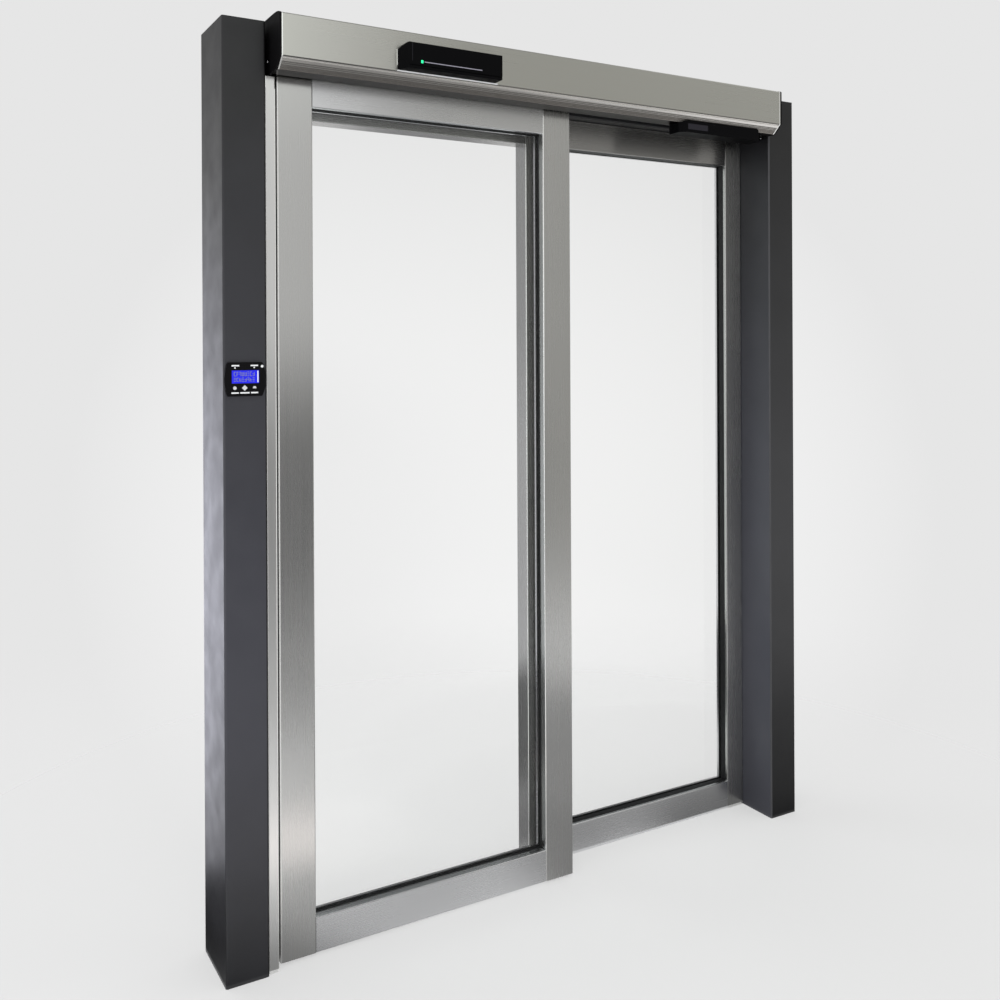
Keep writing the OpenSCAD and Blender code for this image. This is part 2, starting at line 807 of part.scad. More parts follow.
// A round key, a square one that stands on its corner, and a round one with a flat foot
module panel_buttons() {
    pitch = 24.7;
    key_d = 8.5;
    key_a = 10;
    foot = 1.5;
    proud = 1.5;
    color([0.3, 0.3, 0.32])
    along_y(front_y - panel_t - proud, proud)
        translate([panel_x - 2, panel_z - 21.5]) {
            translate([-pitch, 0]) circle(key_d / 2);
            rotate(45) translate([-key_a / 2, -key_a / 2]) square([key_a, key_a]);
            translate([pitch, 0]) intersection() {
                circle(key_d / 2);
                translate([-key_d, -foot]) square([2 * key_d, 2 * key_d]);
            }
        }
}

left_post();
right_post();
post_foot_plates();
post_top_plates();
lintel_tube();
opening_head();
closing_jamb();
fixed_left_stile();
fixed_right_stile();
fixed_top_rail();
fixed_bottom_rail();
fixed_glass();
fixed_beads();
fixed_gaskets();
overlap_seal();
sliding_left_stile();
sliding_right_stile();
sliding_top_rail();
sliding_bottom_rail();
sliding_glass();
sliding_beads();
sliding_gaskets();
closing_nose();
carriage_plates();
carriage_wheels();
belt_clamp();
operator_profile();
track_rail();
operator_cover();
left_end_cap();
right_end_cap();
drive_motor();
drive_gearbox();
drive_pulley();
idler_pulley();
idler_bracket();
drive_belt();
control_unit();
floor_guide();
motion_sensor();
presence_sensor();
control_panel();
panel_display();
panel_buttons();
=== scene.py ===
import math
import random

import bmesh
import bpy
from mathutils import Matrix, Vector


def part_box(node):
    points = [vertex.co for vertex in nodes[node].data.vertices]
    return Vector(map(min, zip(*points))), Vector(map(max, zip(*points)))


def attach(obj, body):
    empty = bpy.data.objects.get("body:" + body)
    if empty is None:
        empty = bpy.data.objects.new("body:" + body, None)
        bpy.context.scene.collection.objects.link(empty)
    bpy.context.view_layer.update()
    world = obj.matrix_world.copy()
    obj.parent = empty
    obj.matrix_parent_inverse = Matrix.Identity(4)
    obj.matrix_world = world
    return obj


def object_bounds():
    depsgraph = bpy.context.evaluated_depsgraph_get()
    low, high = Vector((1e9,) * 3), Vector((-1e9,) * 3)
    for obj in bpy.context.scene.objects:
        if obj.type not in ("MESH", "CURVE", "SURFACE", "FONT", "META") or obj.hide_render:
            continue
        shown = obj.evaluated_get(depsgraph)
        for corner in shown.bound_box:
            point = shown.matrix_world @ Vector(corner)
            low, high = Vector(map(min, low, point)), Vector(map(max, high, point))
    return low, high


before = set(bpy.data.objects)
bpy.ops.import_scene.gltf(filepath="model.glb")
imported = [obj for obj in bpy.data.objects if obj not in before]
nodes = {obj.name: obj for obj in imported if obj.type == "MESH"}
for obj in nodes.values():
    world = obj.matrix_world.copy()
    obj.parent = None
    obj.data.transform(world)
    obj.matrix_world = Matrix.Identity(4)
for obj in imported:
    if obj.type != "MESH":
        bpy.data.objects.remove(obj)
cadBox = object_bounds()
scene = bpy.context.scene
print("door frame loaded:", len(nodes), "parts")

# camera, standing in front of the left post at eye height

eye = {
    "place": (-0.7607, -2.6721, 1.5849),
    "yaw": 30.208,                       # degrees from +Y towards +X
    "pitch": -0.062,
    "roll": -0.259,
    "lens": 37.753,
    "shift": (-0.00146, -0.15408),
}


def aimCamera():
    yaw, pitch, roll = (math.radians(eye[k]) for k in ("yaw", "pitch", "roll"))
    ahead = Vector((math.sin(yaw) * math.cos(pitch), math.cos(yaw) * math.cos(pitch), math.sin(pitch)))
    right = Vector((math.cos(yaw), -math.sin(yaw), 0))
    up = right.cross(ahead)
    tiltedRight = right * math.cos(roll) + up * math.sin(roll)
    tiltedUp = up * math.cos(roll) - right * math.sin(roll)
    data = bpy.data.cameras.new("doorCamera")
    data.sensor_width = 36
    data.lens = eye["lens"]
    data.shift_x, data.shift_y = eye["shift"]
    data.clip_start, data.clip_end = 0.05, 200
    camera = bpy.data.objects.new("doorCamera", data)
    turn = Matrix((tiltedRight, tiltedUp, -ahead)).transposed().to_4x4()
    camera.matrix_world = Matrix.Translation(eye["place"]) @ turn
    scene.collection.objects.link(camera)
    scene.camera = camera


aimCamera()
scene.view_settings.view_transform = "Standard"

# small helpers for node trees


def addNode(tree, kind, **values):
    node = tree.nodes.new(kind)
    for key, value in values.items():
        setattr(node, key, value)
    return node


def wire(tree, source, target):
    tree.links.new(source, target)


def maths(tree, operation, a, b=None):
    node = addNode(tree, "ShaderNodeMath", operation=operation)
    for socket, value in zip(node.inputs, (a, b)):
        if value is None:
            continue
        if isinstance(value, (int, float)):
            socket.default_value = value
        else:
            wire(tree, value, socket)
    return node.outputs[0]


def span(tree, source, low, high, toLow=0.0, toHigh=1.0, smooth=False):
    node = addNode(tree, "ShaderNodeMapRange", clamp=True)
    if smooth:
        node.interpolation_type = "SMOOTHSTEP"
    wire(tree, source, node.inputs[0])
    for socket, value in zip(node.inputs[1:5], (low, high, toLow, toHigh)):
        socket.default_value = value
    return node.outputs[0]


def mixColours(tree, factor, first, second):
    node = addNode(tree, "ShaderNodeMix", data_type="RGBA")
    wire(tree, factor, node.inputs["Factor"])
    for socket, value in zip((node.inputs[6], node.inputs[7]), (first, second)):
        if isinstance(value, tuple):
            socket.default_value = (*value, 1)
        else:
            wire(tree, value, socket)
    return node.outputs[2]


def mixShaders(tree, factor, first, second):
    node = addNode(tree, "ShaderNodeMixShader")
    wire(tree, factor, node.inputs[0])
    wire(tree, first, node.inputs[1])
    wire(tree, second, node.inputs[2])
    return node.outputs[0]


def placeOn(tree, stretch=(1, 1, 1)):
    where = addNode(tree, "ShaderNodeTexCoord")
    mapping = addNode(tree, "ShaderNodeMapping")
    mapping.inputs["Scale"].default_value = stretch
    wire(tree, where.outputs["Object"], mapping.inputs[0])
    return mapping.outputs[0]


def speckle(tree, scale, stretch=(1, 1, 1), detail=3.0, roughness=0.5):
    node = addNode(tree, "ShaderNodeTexNoise")
    wire(tree, placeOn(tree, stretch), node.inputs["Vector"])
    node.inputs["Scale"].default_value = scale
    node.inputs["Detail"].default_value = detail
    node.inputs["Roughness"].default_value = roughness
    return node.outputs["Fac"]


def cells(tree, scale):
    node = addNode(tree, "ShaderNodeTexVoronoi", feature="F1")
    wire(tree, placeOn(tree), node.inputs["Vector"])
    node.inputs["Scale"].default_value = scale
    return node.outputs["Distance"]


def addBump(tree, shader, height, strength, depth):
    node = addNode(tree, "ShaderNodeBump")
    node.inputs["Strength"].default_value = strength
    node.inputs["Distance"].default_value = depth
    wire(tree, height, node.inputs["Height"])
    wire(tree, node.outputs[0], shader.inputs["Normal"])


def newFinish(name, **sockets):
    finish = bpy.data.materials.new(name)
    finish.use_nodes = True
    tree = finish.node_tree
    shader = next(n for n in tree.nodes if n.type == "BSDF_PRINCIPLED")
    for key, value in sockets.items():
        socket = shader.inputs[key.replace("_", " ")]
        socket.default_value = (*value, 1) if isinstance(value, tuple) and len(value) == 3 else value
    return finish, tree, shader


# studio: pale backdrop, pale floor, soft boxes

studio = {
    "backdropEdge": 0.791,
    "backdropMiddle": 0.921,
    "glowYaw": 30.2,                     # middle of the backdrop's glow, degrees from +Y
    "glowPitch": -8.4,
    "glowReach": 0.39,                   # radians from the middle to the edge
    "skyStrength": 0.80,
    "skyColour": (1.0, 1.0, 1.0),
    "floorColour": (0.88, 0.88, 0.88),
    "floorVeil": 0.62,                   # how much of the backdrop shows through the floor
    "floorFrom": 1.2,
    "floorTo": 3.4,
}


def buildBackdrop():
    world = bpy.data.worlds.new("studioBackdrop")
    world.use_nodes = True
    scene.world = world
    tree = world.node_tree
    tree.nodes.clear()
    yaw, pitch = math.radians(studio["glowYaw"]), math.radians(studio["glowPitch"])
    middle = (math.sin(yaw) * math.cos(pitch), math.cos(yaw) * math.cos(pitch), math.sin(pitch))
    where = addNode(tree, "ShaderNodeTexCoord")
    facing = addNode(tree, "ShaderNodeVectorMath", operation="DOT_PRODUCT")
    wire(tree, where.outputs["Generated"], facing.inputs[0])
    facing.inputs[1].default_value = middle
    away = maths(tree, "ARCCOSINE", facing.outputs["Value"])
    falling = maths(tree, "POWER", span(tree, away, 0.0, studio["glowReach"]), 2.0)
    level = span(tree, falling, 0.0, 1.0, studio["backdropMiddle"], studio["backdropEdge"])
    seen = addNode(tree, "ShaderNodeBackground")
    wire(tree, level, seen.inputs["Color"])
    sky = addNode(tree, "ShaderNodeBackground")
    sky.inputs["Color"].default_value = (*studio["skyColour"], 1)
    sky.inputs["Strength"].default_value = studio["skyStrength"]
    path = addNode(tree, "ShaderNodeLightPath")
    direct = maths(tree, "MAXIMUM", path.outputs["Is Camera Ray"], path.outputs["Is Glossy Ray"])
    direct = maths(tree, "MAXIMUM", direct, path.outputs["Is Transmission Ray"])
    out = addNode(tree, "ShaderNodeOutputWorld")
    wire(tree, mixShaders(tree, direct, sky.outputs[0], seen.outputs[0]), out.inputs[0])


def buildFloor():
    finish = bpy.data.materials.new("studioFloor")
    finish.use_nodes = True
    tree = finish.node_tree
    tree.nodes.clear()
    paint = addNode(tree, "ShaderNodeBsdfDiffuse")
    paint.inputs["Color"].default_value = (*studio["floorColour"], 1)
    clear = addNode(tree, "ShaderNodeBsdfTransparent")
    where = placeOn(tree)
    length = addNode(tree, "ShaderNodeVectorMath", operation="LENGTH")
    wire(tree, where, length.inputs[0])
    edge = span(tree, length.outputs["Value"], studio["floorFrom"], studio["floorTo"],
                studio["floorVeil"], 1.0, smooth=True)
    out = addNode(tree, "ShaderNodeOutputMaterial")
    wire(tree, mixShaders(tree, edge, paint.outputs[0], clear.outputs[0]), out.inputs[0])
    mesh = bmesh.new()
    bmesh.ops.create_circle(mesh, cap_ends=True, segments=96, radius=studio["floorTo"] + 0.1)
    data = bpy.data.meshes.new("studioFloor")
    mesh.to_mesh(data)
    mesh.free()
    data.materials.append(finish)
    floor = bpy.data.objects.new("studioFloor", data)
    lo, hi = cadBox
    floor.location = ((lo.x + hi.x) / 2, 0, lo.z - 0.0005)
    scene.collection.objects.link(floor)


softBoxes = {
    "keyBox": {"at": (-0.6, -3.9, 1.2), "to": (0.9, 0, 1.0), "size": (2.6, 2.0), "power": 46,
               "colour": (0.99, 1.0, 0.98)},
    "lowBox": {"at": (-0.5, -1.9, 0.55), "to": (0.0, 0, 0.75), "size": (0.7, 0.7), "power": 4,
               "colour": (0.98, 0.98, 1.0)},
    "leftBox": {"at": (-3.2, -1.7, 1.1), "to": (1.2, 0, 1.0), "size": (1.6, 2.0), "power": 26,
                "colour": (0.97, 0.97, 1.0)},
    "sideBox": {"at": (4.2, -2.6, 1.6), "to": (1.0, 0, 1.1), "size": (1.6, 2.2), "power": 12,
                "colour": (1.0, 0.99, 0.97)},
    "rearBox": {"at": (-1.8, 3.6, 2.6), "to": (0.9, 0, 1.2), "size": (2.4, 1.8), "power": 30,
                "colour": (0.97, 0.98, 1.0)},
}


def hangSoftBoxes():
    for name, box in softBoxes.items():
        data = bpy.data.lights.new(name, "AREA")
        data.shape = "RECTANGLE"
        data.size, data.size_y = box["size"]
        data.energy = box["power"]
        data.color = box["colour"]
        lamp = bpy.data.objects.new(name, data)
        lamp.location = box["at"]
        lamp.rotation_euler = (Vector(box["to"]) - Vector(box["at"])).to_track_quat("-Z", "Y").to_euler()
        lamp.visible_camera = False
        lamp.visible_glossy = False
        lamp.visible_transmission = False
        scene.collection.objects.link(lamp)


# cards that only reflections see, hung round the brushed metal to shade it in zones
cards = {
    "rightHaze": {"at": (4.4, -3.2, 2.0), "face": "y", "size": (7.0, 5.6), "glow": 0.42,
                  "colour": (1.0, 0.99, 0.94), "edge": 0.32},
    "headShade": {"at": (3.2, -3.15, 3.9), "face": "y", "size": (4.4, 1.8), "glow": 0.42,
                  "colour": (1.0, 0.99, 0.93), "edge": 0.5},
    "headGlow": {"at": (0.5, -3.1, 3.5), "face": "y", "size": (2.0, 1.8), "glow": 1.5,
                 "colour": (0.95, 1.0, 0.94), "edge": 0.9},
    "topShade": {"at": (1.3, -0.8, 5.2), "face": "z", "size": (5.5, 3.4), "glow": 0.05,
                 "colour": (1.0, 1.0, 1.0), "edge": 0.4},
    "leftWing": {"at": (-3.6, -1.2, 1.4), "face": "x", "size": (2.6, 3.4), "glow": 1.7,
                 "colour": (0.99, 1.0, 0.99), "edge": 0.5},
    "darkFlag": {"at": (0.78, -2.0, 0.80), "face": "y", "size": (2.2, 1.95), "glow": 0.12,
                 "colour": (1.0, 1.0, 1.02), "edge": 0.6},
    "lowPool": {"at": (0.36, -0.72, 0.012), "face": "z", "size": (0.8, 0.62), "glow": 1.38,
                "colour": (1.0, 0.95, 0.93), "edge": 0.9},
    "frontShade": {"at": (0.9, -2.2, 0.006), "face": "z", "size": (2.6, 2.2), "glow": 0.42,
                   "colour": (1.0, 1.0, 1.0), "edge": 0.8},
    "footShade": {"at": (0.10, -0.04, 0.008), "face": "z", "size": (1.0, 1.1), "glow": 0.26,
                  "colour": (1.0, 1.0, 1.0), "edge": 0.9},
    "railShade": {"at": (0.55, -0.30, 0.010), "face": "z", "size": (1.1, 1.0), "glow": 0.50,
                  "colour": (1.0, 1.0, 1.0), "edge": 0.8},
    "middleFootShade": {"at": (1.10, -0.20, 0.009), "face": "z", "size": (0.9, 0.9), "glow": 0.28,
                        "colour": (1.0, 1.0, 1.0), "edge": 0.7},
    "farFootShade": {"at": (1.75, 0.1, 0.008), "face": "z", "size": (1.1, 0.8), "glow": 0.16,
                     "colour": (1.0, 1.0, 1.0), "edge": 0.6},
    "leftShade": {"at": (-0.25, 0.22, 0.010), "face": "z", "size": (0.8, 1.1), "glow": 0.02,
                  "colour": (1.0, 1.0, 1.0), "edge": 0.6},
    "rightShade": {"at": (1.6, -0.8, 0.007), "face": "z", "size": (2.0, 1.9), "glow": 0.34,
                   "colour": (1.0, 1.0, 1.0), "edge": 0.22},
    "rearShade": {"at": (-0.7, 2.0, 3.4), "face": "y", "size": (3.0, 2.8), "glow": 0.35,
                  "colour": (1.0, 1.0, 1.0), "edge": 0.8},
    "rearGlow": {"at": (-0.19, 0.50, 0.90), "face": "y", "size": (0.30, 2.7), "glow": 3.7,
                 "colour": (0.96, 0.97, 1.10), "edge": 0.95},
    "rearFloorShade": {"at": (0.66, 0.36, 0.007), "face": "z", "size": (0.9, 0.8), "glow": 0.20,
                       "colour": (1.0, 1.0, 1.03), "edge": 0.5},
    "farFloorShade": {"at": (2.75, -0.7, 0.005), "face": "z", "size": (1.5, 1.5), "glow": 0.45,
                      "colour": (1.0, 1.0, 1.0), "edge": 0.6},
    "sideFlag": {"at": (0.70, 0.31, 2.02), "face": "y", "size": (0.76, 1.7), "glow": 0.34,
                 "colour": (1.0, 1.0, 1.03), "edge": 0.75},
    "middleFlag": {"at": (0.70, 0.33, 1.20), "face": "y", "size": (0.76, 2.6), "glow": 0.50,
                   "colour": (1.0, 1.0, 1.03), "edge": 0.45},
    "kerbFlag": {"at": (0.68, 0.30, 0.32), "face": "y", "size": (1.2, 0.5), "glow": 0.10,
                 "colour": (1.0, 1.0, 1.03), "edge": 0.4},
    "farKerbFlag": {"at": (1.50, 0.42, 0.32), "face": "y", "size": (1.3, 0.5), "glow": 0.10,
                    "colour": (1.0, 1.0, 1.03), "edge": 0.4},
}


def setCards():
    for name, card in cards.items():
        finish = bpy.data.materials.new(name)
        finish.use_nodes = True
        tree = finish.node_tree
        tree.nodes.clear()
        where = addNode(tree, "ShaderNodeTexCoord")
        length = addNode(tree, "ShaderNodeVectorMath", operation="LENGTH")
        wire(tree, where.outputs["Object"], length.inputs[0])
        cover = span(tree, length.outputs["Value"], 1.0 - card["edge"], 1.0, 1.0, 0.0, smooth=True)
        glow = addNode(tree, "ShaderNodeEmission")
        glow.inputs["Color"].default_value = (*card["colour"], 1)
        glow.inputs["Strength"].default_value = card["glow"]
        clear = addNode(tree, "ShaderNodeBsdfTransparent")
        out = addNode(tree, "ShaderNodeOutputMaterial")
        wire(tree, mixShaders(tree, cover, clear.outputs[0], glow.outputs[0]), out.inputs[0])
        mesh = bmesh.new()
        bmesh.ops.create_circle(mesh, cap_ends=True, segments=48, radius=1.0)
        data = bpy.data.meshes.new(name)
        mesh.to_mesh(data)
        mesh.free()
        data.materials.append(finish)
        sheet = bpy.data.objects.new(name, data)
        sheet.location = card["at"]
        sheet.scale = (card["size"][0] / 2, card["size"][1] / 2, 1)
        if card["face"] != "z":
            sheet.rotation_euler = (math.pi / 2, 0, math.pi / 2 if card["face"] == "x" else 0)
        scene.collection.objects.link(sheet)
        sheet.visible_camera = False
        sheet.visible_diffuse = False
        sheet.visible_transmission = False
        sheet.visible_shadow = False


buildBackdrop()
buildFloor()
hangSoftBoxes()
setCards()
print("studio set")

# finishes

# painted light and shade: the coat is painted lighter round hip height and darker towards both ends, standing in
# for how the light falls on the posts
postShadedPaints = {
    "postPaintShaded": {"dark": (0.0075, 0.0076, 0.0085), "light": (0.038, 0.0385, 0.0480), "middle": 0.78,
                  "reach": (0.95, 1.75)},
    # the right post: a darker copy of the coat, painted shade
    "farPostPaintShaded": {"dark": (0.0025, 0.0025, 0.003), "light": (0.029, 0.0292, 0.032), "middle": 0.95,
                     "reach": (0.95, 1.60)},
    # the right post's inner face: a lighter copy of the coat, painted light
    "postInsideLitAndShaded": {"dark": (0.0060, 0.0060, 0.0068), "light": (0.060, 0.0615, 0.076), "middle": 0.60,
                   "reach": (1.80, 2.00)},
}


def makeShadedPostPaint(name):
    look = postShadedPaints[name]
    finish, tree, shader = newFinish(name, Specular_IOR_Level=0.5)
    height = addNode(tree, "ShaderNodeSeparateXYZ")
    wire(tree, placeOn(tree), height.inputs[0])
    # painted light and shade: lighter round the middle height, darker above and below
    away = maths(tree, "SUBTRACT", height.outputs["Z"], look["middle"])
    below, above = look["reach"]
    low = span(tree, away, -below, 0.0, smooth=True)
    high = span(tree, away, 0.0, above, 1.0, 0.0, smooth=True)
    cloud = span(tree, speckle(tree, 6, detail=4), 0.3, 0.7, -0.06, 0.06)
    tone = maths(tree, "ADD", maths(tree, "MULTIPLY", low, high), cloud)
    wire(tree, mixColours(tree, tone, look["dark"], look["light"]), shader.inputs["Base Color"])
    wire(tree, span(tree, speckle(tree, 14, detail=3), 0.3, 0.7, 0.36, 0.46), shader.inputs["Roughness"])
    addBump(tree, shader, speckle(tree, 900, detail=2), 0.12, 0.00012)
    return finish


brushed = {
    "leafUp": {"colour": (0.60, 0.60, 0.59), "grain": "z", "roughness": (0.25, 0.29), "stretch": 0.8},
    # painted light: the stiles' metal made lighter for the rails and beads
    "leafAcrossLit": {"colour": (0.76, 0.765, 0.775), "grain": "x", "roughness": (0.25, 0.29), "stretch": 0.8},
    "coverAcross": {"colour": (0.60, 0.60, 0.56), "grain": "x", "roughness": (0.27, 0.31), "stretch": 0.8},
    # painted shade: the leaf metal made darker for the fixed top rail and the head under the cover
    "headAcrossShaded": {"colour": (0.46, 0.455, 0.45), "grain": "x", "roughness": (0.25, 0.29), "stretch": 0.8},
    # painted light: the leaf metal made lighter for the jamb
    "jambUpLit": {"colour": (0.78, 0.78, 0.77), "grain": "z", "roughness": (0.30, 0.34), "stretch": 0.8},
    "millAcross": {"colour": (0.50, 0.505, 0.51), "grain": "x", "roughness": (0.42, 0.52), "stretch": 0.3},
    # painted shade: the cover's underside, near black
    "coverBelowShaded": {"colour": (0.020, 0.017, 0.016), "grain": "x", "roughness": (0.27, 0.31), "stretch": 0.8},
    # painted shade in the flutes and on the bevel above them
    "coverFlutesShaded": {"colour": (0.25, 0.24, 0.23), "grain": "x", "roughness": (0.24, 0.28), "stretch": 0.6},
    # painted highlight: the band between the bevel and the flutes
    "coverBandsLit": {"colour": (0.84, 0.82, 0.79), "grain": "x", "roughness": (0.24, 0.28), "stretch": 0.8},
    "coverLands": {"colour": (0.62, 0.60, 0.57), "grain": "x", "roughness": (0.24, 0.28), "stretch": 0.8},
    # painted shade: the chamfer's lower lands made darker
    "coverLowLandsShaded": {"colour": (0.34, 0.315, 0.29), "grain": "x", "roughness": (0.24, 0.28), "stretch": 0.8},
    # painted highlight: a brighter metal for rounded edges and the thin edge pieces
    "paintedHighlightEdges": {"colour": (0.94, 0.94, 0.92), "grain": "z", "roughness": (0.22, 0.26), "stretch": 0.5},
}


def makeBrushed(name):
    look = brushed[name]
    finish, tree, shader = newFinish(name, Metallic=1.0, Anisotropic=look["stretch"])
    along, across = 1.2, 260
    stretch = (across, across, along) if look["grain"] == "z" else (along, across, across)
    streak = speckle(tree, 1.0, stretch, detail=4, roughness=0.65)
    fine = speckle(tree, 6.0, stretch, detail=2)
    cloud = speckle(tree, 3.0, detail=3)
    r, g, b = look["colour"]
    tone = mixColours(tree, streak, (r * 0.985, g * 0.985, b * 0.985), (r * 1.015, g * 1.015, b * 1.015))
    wire(tree, tone, shader.inputs["Base Color"])
    mixed = maths(tree, "ADD", maths(tree, "MULTIPLY", streak, 0.5), maths(tree, "MULTIPLY", cloud, 0.5))
    wire(tree, span(tree, mixed, 0.35, 0.65, *look["roughness"]), shader.inputs["Roughness"])
    lay = addNode(tree, "ShaderNodeTangent", direction_type="RADIAL",
                  axis="Z" if look["grain"] == "z" else "X")
    wire(tree, lay.outputs[0], shader.inputs["Tangent"])
    addBump(tree, shader, fine, 0.01, 0.00003)
    return finish


def makeZinc():
    finish, tree, shader = newFinish("zincSteel", Metallic=1.0)
    spangle = cells(tree, 60)
    wire(tree, mixColours(tree, spangle, (0.42, 0.425, 0.44), (0.58, 0.585, 0.60)), shader.inputs["Base Color"])
    wire(tree, span(tree, speckle(tree, 120), 0.3, 0.7, 0.38, 0.55), shader.inputs["Roughness"])
    addBump(tree, shader, speckle(tree, 500), 0.1, 0.0001)
    return finish


def makeSteel():
    finish, tree, shader = newFinish("screwSteel", Metallic=1.0)
    wire(tree, mixColours(tree, speckle(tree, 300), (0.60, 0.60, 0.61), (0.72, 0.72, 0.73)),
         shader.inputs["Base Color"])
    wire(tree, span(tree, speckle(tree, 700), 0.3, 0.7, 0.20, 0.34), shader.inputs["Roughness"])
    addBump(tree, shader, speckle(tree, 1500), 0.1, 0.00004)
    return finish


def makeGlass():
    finish, tree, shader = newFinish("clearFireGlass", Base_Color=(0.998, 1.0, 0.998), Roughness=0.0, IOR=1.5,
                                     Specular_IOR_Level=0.25, Transmission_Weight=1.0)
    # light and reflections pass straight through, so the metal behind the panes keeps its shine
    clear = addNode(tree, "ShaderNodeBsdfTransparent")
    clear.inputs["Color"].default_value = (0.93, 0.95, 0.94, 1)
    path = addNode(tree, "ShaderNodeLightPath")
    mirrored = maths(tree, "GREATER_THAN", path.outputs["Is Glossy Ray"], path.outputs["Is Transmission Ray"])
    through = maths(tree, "MAXIMUM", path.outputs["Is Shadow Ray"], path.outputs["Is Diffuse Ray"])
    through = maths(tree, "MAXIMUM", through, mirrored)
    out = next(n for n in tree.nodes if n.type == "OUTPUT_MATERIAL")
    wire(tree, mixShaders(tree, through, shader.outputs[0], clear.outputs[0]), out.inputs[0])
    addBump(tree, shader, speckle(tree, 1.6, detail=1), 0.02, 0.0004)
    return finish


def makeRubber(name, colour, roughness):
    finish, tree, shader = newFinish(name, Specular_IOR_Level=0.35)
    dust = speckle(tree, 40, detail=5)
    r, g, b = colour
    wire(tree, mixColours(tree, dust, colour, (r * 1.9, g * 1.9, b * 1.9)), shader.inputs["Base Color"])
    wire(tree, span(tree, dust, 0.3, 0.7, roughness - 0.08, roughness + 0.08), shader.inputs["Roughness"])
    addBump(tree, shader, speckle(tree, 1200), 0.15, 0.00008)
    return finish


plastics = {
    "capPlastic": {"colour": (0.005, 0.0048, 0.0053), "roughness": 0.55, "grain": 1400, "depth": 0.00006,
                   "gloss": 0.05},
    "sensorPlastic": {"colour": (0.003, 0.003, 0.0034), "roughness": 0.48, "grain": 1100, "depth": 0.00003,
                      "gloss": 0.03},
    "buttonPlastic": {"colour": (0.55, 0.55, 0.57), "roughness": 0.45, "grain": 1500, "depth": 0.00004},
    "guidePlastic": {"colour": (0.014, 0.014, 0.015), "roughness": 0.5, "grain": 900, "depth": 0.00008},
    "wheelPlastic": {"colour": (0.66, 0.65, 0.60), "roughness": 0.42, "grain": 700, "depth": 0.00004},
    # smoked lens plastic; also the painted highlight line at the motion sensor's fold
    "lensPlasticAndHighlight": {"colour": (0.020, 0.019, 0.024), "roughness": 0.3, "grain": 300, "depth": 0.00001,
                    "gloss": 0.12},
    # white print on the panel; also the painted highlights under the motion sensor and at the display's edge
    "whitePrintAndHighlight": {"colour": (0.72, 0.73, 0.74), "roughness": 0.55, "grain": 2000, "depth": 0.00001},
    "greyPrint": {"colour": (0.30, 0.29, 0.35), "roughness": 0.4, "grain": 2000, "depth": 0.00001},
    "oliveInk": {"colour": (0.20, 0.21, 0.22), "roughness": 0.5, "grain": 2000, "depth": 0.00001},
}


def makePlastic(name):
    look = plastics[name]
    finish, tree, shader = newFinish(name, Specular_IOR_Level=look.get("gloss", 0.5))
    r, g, b = look["colour"]
    cloud = speckle(tree, 30, detail=4)
    wire(tree, mixColours(tree, cloud, (r * 0.9, g * 0.9, b * 0.9), (r * 1.1, g * 1.1, b * 1.1)),
         shader.inputs["Base Color"])
    wire(tree, span(tree, cloud, 0.3, 0.7, look["roughness"] - 0.04, look["roughness"] + 0.05),
         shader.inputs["Roughness"])
    addBump(tree, shader, speckle(tree, look["grain"], detail=2), 0.3, look["depth"])
    return finish


def makeLamp(name, colour, strength):
    finish, tree, shader = newFinish(name, Roughness=0.25, Emission_Color=colour, Emission_Strength=strength)
    wire(tree, mixColours(tree, speckle(tree, 400), tuple(c * 0.5 for c in colour), colour),
         shader.inputs["Base Color"])
    return finish


def makePaint(name, colour, roughness, lumps):
    finish, tree, shader = newFinish(name, Specular_IOR_Level=0.45)
    r, g, b = colour
    wire(tree, mixColours(tree, speckle(tree, 20, detail=4), (r * 0.85, g * 0.85, b * 0.85),
                          (r * 1.15, g * 1.15, b * 1.15)), shader.inputs["Base Color"])
    wire(tree, span(tree, speckle(tree, 50), 0.3, 0.7, roughness - 0.06, roughness + 0.06),
         shader.inputs["Roughness"])
    addBump(tree, shader, speckle(tree, lumps, detail=4), 0.3, 0.0002)
    return finish


finishes = {name: makeBrushed(name) for name in brushed}
finishes.update({name: makePlastic(name) for name in plastics})
finishes.update({name: makeShadedPostPaint(name) for name in postShadedPaints})
finishes["screwSteel"] = makeSteel()
finishes["zincSteel"] = makeZinc()
finishes["clearFireGlass"] = makeGlass()
finishes["sealRubber"] = makeRubber("sealRubber", (0.006, 0.006, 0.0065), 0.6)
finishes["beltRubber"] = makeRubber("beltRubber", (0.008, 0.008, 0.009), 0.7)
finishes["displayBlue"] = makeLamp("displayBlue", (0.008, 0.010, 0.52), 0.75)
finishes["greenLamp"] = makeLamp("greenLamp", (0.02, 0.75, 0.30), 1.2)
finishes["motorPaint"] = makePaint("motorPaint", (0.021, 0.022, 0.025), 0.45, 300)
finishes["gearCasting"] = makePaint("gearCasting", (0.20, 0.205, 0.215), 0.5, 180)
# painted highlight for the right post's front arris
finishes["postEdgeHighlight"] = makePaint("postEdgeHighlight", (0.055, 0.055, 0.060), 0.42, 900)
# painted shade for the left post's right arris and the underside of the fixed top rail's lip
finishes["gapShade"] = makePaint("gapShade", (0.003, 0.003, 0.0035), 0.60, 900)
print("finishes mixed:", len(finishes))

